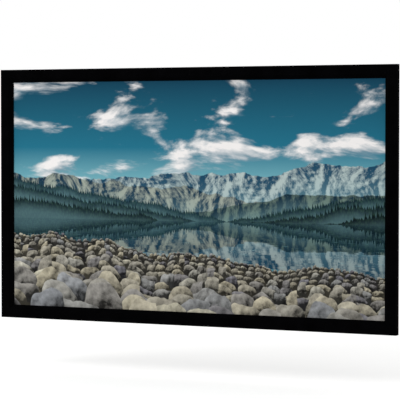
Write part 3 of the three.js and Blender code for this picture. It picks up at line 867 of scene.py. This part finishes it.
def make_strap(side, settings, look):
    """One binding strap: a flat section with round edges and a pressed weld, mitred at both ends.

    A station of the strap lies at share * (half length + u - gap), with share from -1 to 1 in even steps, so
    that the ends are at 45 degrees.
    """
    half = HALF_SIDE[side]
    radius = STRAP_THICKNESS / 2
    middle = STRAP_FRONT + radius
    press = settings.sheet.weld_press
    section = np.concatenate([
        arc((STRAP_INNER_U + radius, middle), radius, 90, 270, BEND_STEPS),
        arc((STRAP_OUTER_U - radius, middle), radius, -90, 90, BEND_STEPS),
        [(WELD_OUTER_U, STRAP_BACK), (WELD_OUTER_U - press, STRAP_BACK - press)],
        [(WELD_INNER_U + press, STRAP_BACK - press), (WELD_INNER_U, STRAP_BACK)],
    ])
    gap = STRAP_MITRE_GAP / math.sqrt(2)
    share = np.linspace(-1, 1, STRAP_STATIONS)[:, None]
    along = share * (half + section[:, 0] - gap)
    rows = on_side(side, along, section[:, 0], section[:, 1])
    ends = rows[[0, -1]].mean(axis=1, keepdims=True) + 0 * rows[[0, -1]]
    grid = np.concatenate([ends[:1], rows, ends[1:]])[None]
    return mesh_object(f"{side}_binding_strap", grid, [look])


def make_snaps(side, settings, look):
    """The snap fasteners of one side, each turned from one profile: socket in front, domed cap behind."""
    edge, rim = SNAP_EDGE, SNAP_CAP_RIM
    ring_front, cap_top = STRAP_LOW.y, STRAP_HIGH.y
    crown = np.linspace(1, 0, SNAP_CROWN_STEPS)
    dome_radius = (SNAP_CAP - rim) * crown
    dome_y = STRAP_BACK + 2 * rim + (cap_top - STRAP_BACK - 2 * rim) * (1 - crown**2)
    profile = np.concatenate([
        [(0, STRAP_FRONT), (SNAP_BORE, STRAP_FRONT)],
        arc((SNAP_BORE + edge, ring_front + edge), edge, 180, 270, SNAP_EDGE_STEPS),
        arc((SNAP_RING - edge, ring_front + edge), edge, 270, 360, SNAP_EDGE_STEPS),
        [(SNAP_RING, STRAP_FRONT), (SNAP_RING, STRAP_BACK)],
        arc((SNAP_CAP - rim, STRAP_BACK + rim), rim, -90, 70, SNAP_RIM_STEPS),
        np.stack([dome_radius, dome_y], axis=-1)[1:],
    ])
    centres = side_snaps(side, settings.sheet.snap_pitch)
    return mesh_object(f"{side}_snap_fasteners", turned(profile, centres, side), [look])


def make_set_screws(name, nodes, settings, look):
    """Set screws where CAD nodes lie, each one surface from the socket's floor to the cup point.

    Thread: radius = root + depth * (1 - |2 * frac(y / pitch - t / (2 pi)) - 1|). The socket's radius is that
    of a hexagon, apothem / cos(t mod 60 - 30 degrees).
    """
    facets, pitch = settings.frame.screw_facets, settings.frame.thread_pitch
    low, high = (np.array(corner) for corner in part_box(nodes[0]))
    radius = (high[0] - low[0]) / 2
    tip, head = low[1], high[1]
    turn = np.linspace(0, 2 * np.pi, facets, endpoint=False)
    even = np.ones(facets)
    hexagon = SCREW_SOCKET_APOTHEM / np.cos((turn % (np.pi / 3)) - np.pi / 6)
    thread_y = np.arange(head - THREAD_FROM_HEAD, tip + THREAD_FROM_TIP, -pitch / THREAD_STEPS)[:, None]
    phase = (thread_y / pitch - turn / (2 * np.pi)) % 1
    thread = radius - THREAD_DEPTH * np.abs(2 * phase - 1)
    rings = [
        (0 * even, head - SCREW_SOCKET_DEPTH),
        (hexagon, head - SCREW_SOCKET_DEPTH),
        (hexagon, head - SCREW_SOCKET_BEVEL),
        (hexagon + SCREW_SOCKET_BEVEL, head),
        ((radius - THREAD_DEPTH) * even, head),
        *zip(thread, thread_y[:, 0]),
        ((radius - SCREW_TIP_CHAMFER) * even, tip),
        ((radius - SCREW_CUP_RIM) * even, tip),
        (0 * even, tip + SCREW_CUP_DEPTH),
    ]
    ring_radius = np.array([ring for ring, _ in rings])
    ring_y = np.array([y for _, y in rings])
    copies = []
    for node in nodes:
        low, high = (np.array(corner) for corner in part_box(node))
        x, z = (low[0] + high[0]) / 2, (low[2] + high[2]) / 2
        copies.append(np.stack([
            x + ring_radius * np.cos(turn),
            ring_y[:, None] + 0 * ring_radius,
            z + ring_radius * np.sin(turn),
        ], axis=-1))
    piece = mesh_object(name, np.array(copies), [look])
    seat(piece, "black_oxide_steel", *nodes)


# Operators


class PROJECTION_OT_sheet(bpy.types.Operator):
    """Make the stretched sheet with its picture, its binding straps and its snap fasteners"""

    bl_idname = "projection.sheet"
    bl_label = "Sheet And Binding"

    def execute(self, context):
        settings = context.scene.projection_screen
        pvc = welded_pvc(settings.sheet.binding)
        nickel = plated_metal("Nickel Plated Brass, Stamped", linear("#c8c3b8"), 0.24, 0.06, 9 * MM)
        sheet = make_sheet(settings)
        on_sheet = []
        for side in SIDES:
            strap = make_strap(side, settings, pvc)
            seat(strap, "binding", f"{side}_edge_binding")
            snaps = make_snaps(side, settings, nickel)
            seat(snaps, "zinc_steel")
            on_sheet += [strap, snaps]
        return {"FINISHED"}


class PROJECTION_OT_velvet(bpy.types.Operator):
    """Make the velvet sleeves, folded round the rails and rolled in at the joints"""

    bl_idname = "projection.velvet"
    bl_label = "Velvet Sleeves"

    def execute(self, context):
        settings = context.scene.projection_screen
        look = flocked_velvet(settings.frame.pile)
        for rail in RAILS:
            make_velvet(rail, settings, look)
        return {"FINISHED"}


class PROJECTION_OT_rails(bpy.types.Operator):
    """Dress the aluminium extrusions, with their die lines along each bar"""

    bl_idname = "projection.rails"
    bl_label = "Extrusions"

    def execute(self, context):
        colour = context.scene.projection_screen.frame.aluminium
        dress([f"{rail}_rail" for rail in LEVEL_RAILS], extruded_aluminium(colour, "Level", 0))
        dress([f"{rail}_rail" for rail in UPRIGHT_RAILS], extruded_aluminium(colour, "Upright", 2))
        return {"FINISHED"}


class PROJECTION_OT_keys(bpy.types.Operator):
    """Dress the corner keys and the splice keys"""

    bl_idname = "projection.keys"
    bl_label = "Keys"

    def execute(self, context):
        zinc = context.scene.projection_screen.frame.zinc
        look = plated_metal("Zinc Plated Steel, Blue Passivated", zinc, 0.34, 0.08, 14 * MM)
        dress([f"{corner}_corner_key" for corner in CORNERS], look)
        dress([f"{side}_splice_key" for side in LEVEL_SIDES], look)
        return {"FINISHED"}


class PROJECTION_OT_set_screws(bpy.types.Operator):
    """Make the threaded set screws in the keys"""

    bl_idname = "projection.set_screws"
    bl_label = "Set Screws"

    def execute(self, context):
        settings = context.scene.projection_screen
        look = plated_metal("Black Oxide Steel, Oiled", linear("#2b2b2d"), 0.38, 0.08, 3 * MM)
        for place in CORNERS + LEVEL_SIDES:
            kind = "set" if place in CORNERS else "splice"
            nodes = [f"{place}_{kind}_screw_{i}" for i in range(1, 5)]
            make_set_screws(f"{place}_threaded_screws", nodes, settings, look)
        return {"FINISHED"}


class PROJECTION_OT_hooks(bpy.types.Operator):
    """Dress the wall hooks"""

    bl_idname = "projection.hooks"
    bl_label = "Wall Hooks"

    def execute(self, context):
        look = powder_coat(context.scene.projection_screen.frame.powder_coat)
        dress([f"{corner}_wall_hook" for corner in CORNERS], look)
        return {"FINISHED"}


class PROJECTION_OT_stage(bpy.types.Operator):
    """Set up the pale floor, the soft light and the camera"""

    bl_idname = "projection.stage"
    bl_label = "Stage"

    def execute(self, context):
        stage = context.scene.projection_screen.stage
        self.add_floor(stage)
        self.add_lights(context.scene, stage)
        self.add_camera(context.scene, stage)
        context.scene.view_settings.view_transform = "Standard"
        return {"FINISHED"}

    def add_floor(self, stage):
        """A flat floor whose colour the camera sees as white outside the shadow."""
        z = CAD_BOX[0].z - stage.floor_drop
        edges = [-FLOOR_REACH, FLOOR_REACH]
        x, y = np.meshgrid(edges, edges, indexing="ij")
        made, node = material("Studio Floor, Matte Paint")
        seen = node("LightPath")
        lift = node("Math", [(seen, "Is Camera Ray"), FLOOR_LIFT], operation="MULTIPLY")
        paint = node("BsdfDiffuse", {"Color": stage.floor})
        glow = node("Emission", {"Color": (1, 1, 1, 1), "Strength": lift})
        node("OutputMaterial", [node("AddShader", [paint, glow])])
        grid = np.stack([x, y, np.full_like(x, z)], axis=-1)[None]
        floor = mesh_object("floor", grid, [made], join_columns=False)

    def add_lights(self, scene, stage):
        """White all round, which the camera and reflections see at full white, and one large soft lamp."""
        world = bpy.data.worlds.new("Studio Surround")
        scene.world = world
        world.use_nodes = True
        world.node_tree.nodes.clear()
        node = partial(add, world.node_tree)
        seen = node("LightPath")
        glossy = node("Math", [(seen, "Is Camera Ray"), (seen, "Is Glossy Ray")], operation="MAXIMUM")
        shown = node("Math", [glossy, (seen, "Is Transmission Ray")], operation="MAXIMUM")
        strength = node("MapRange", {0: shown, 3: stage.surround, 4: 1.0})
        surround = node("Background", {"Color": (1, 1, 1, 1), "Strength": strength})
        node("OutputWorld", [surround])
        lamp = bpy.data.lights.new("Key Softbox", "AREA")
        lamp.shape = "RECTANGLE"
        lamp.size, lamp.size_y = SOFTBOX_SIZE
        lamp.energy = stage.key_power
        softbox = bpy.data.objects.new("Key Softbox", lamp)
        place = Vector(SOFTBOX_PLACE)
        softbox.matrix_world = Matrix.LocRotScale(place, (-place).to_track_quat("-Z", "Y"), None)
        scene.collection.objects.link(softbox)

    def add_camera(self, scene, stage):
        """The photograph's camera, fitted to the eight edges of the frame and the picture."""
        data = bpy.data.cameras.new("Photograph View")
        data.sensor_width = SENSOR_WIDTH
        data.lens = stage.lens
        data.shift_x = (PHOTO_WIDTH / 2 - PHOTO_CENTRE[0]) / PHOTO_WIDTH
        data.shift_y = (PHOTO_CENTRE[1] - PHOTO_WIDTH / 2) / PHOTO_WIDTH
        data.clip_end = FAR_CLIP
        back = Vector((
            math.sin(stage.azimuth) * math.cos(stage.elevation),
            -math.cos(stage.azimuth) * math.cos(stage.elevation),
            math.sin(stage.elevation),
        ))
        camera = bpy.data.objects.new("Photograph View", data)
        camera.matrix_world = Matrix.LocRotScale(back * stage.distance, back.to_track_quat("Z", "Y"), None)
        scene.collection.objects.link(camera)
        scene.camera = camera


PIECE_OPERATORS = (
    PROJECTION_OT_sheet,
    PROJECTION_OT_velvet,
    PROJECTION_OT_rails,
    PROJECTION_OT_keys,
    PROJECTION_OT_set_screws,
    PROJECTION_OT_hooks,
    PROJECTION_OT_stage,
)


class PROJECTION_PT_panel(bpy.types.Panel):
    """The projection screen's pieces and settings"""

    bl_idname = "PROJECTION_PT_panel"
    bl_label = "Projection Screen"
    bl_space_type = "VIEW_3D"
    bl_region_type = "UI"
    bl_category = "Projection Screen"

    def draw(self, context):
        settings = context.scene.projection_screen
        for group in (settings.picture, settings.sheet, settings.frame, settings.stage):
            box = self.layout.box()
            for name in group.__annotations__:
                box.prop(group, name)
        for operator in PIECE_OPERATORS:
            self.layout.operator(operator.bl_idname)


CLASSES = (
    PictureSettings,
    SheetSettings,
    FrameSettings,
    StageSettings,
    ScreenSettings,
    *PIECE_OPERATORS,
    PROJECTION_PT_panel,
)


def register():
    for made in CLASSES:
        bpy.utils.register_class(made)
    bpy.types.Scene.projection_screen = PointerProperty(type=ScreenSettings)


def unregister():
    del bpy.types.Scene.projection_screen
    for made in reversed(CLASSES):
        bpy.utils.unregister_class(made)


def main():
    register()
    bpy.ops.projection.stage()
    bpy.ops.projection.velvet()
    bpy.ops.projection.rails()
    bpy.ops.projection.keys()
    bpy.ops.projection.set_screws()
    bpy.ops.projection.hooks()
    bpy.ops.projection.sheet()


if __name__ == "__main__":
    main()
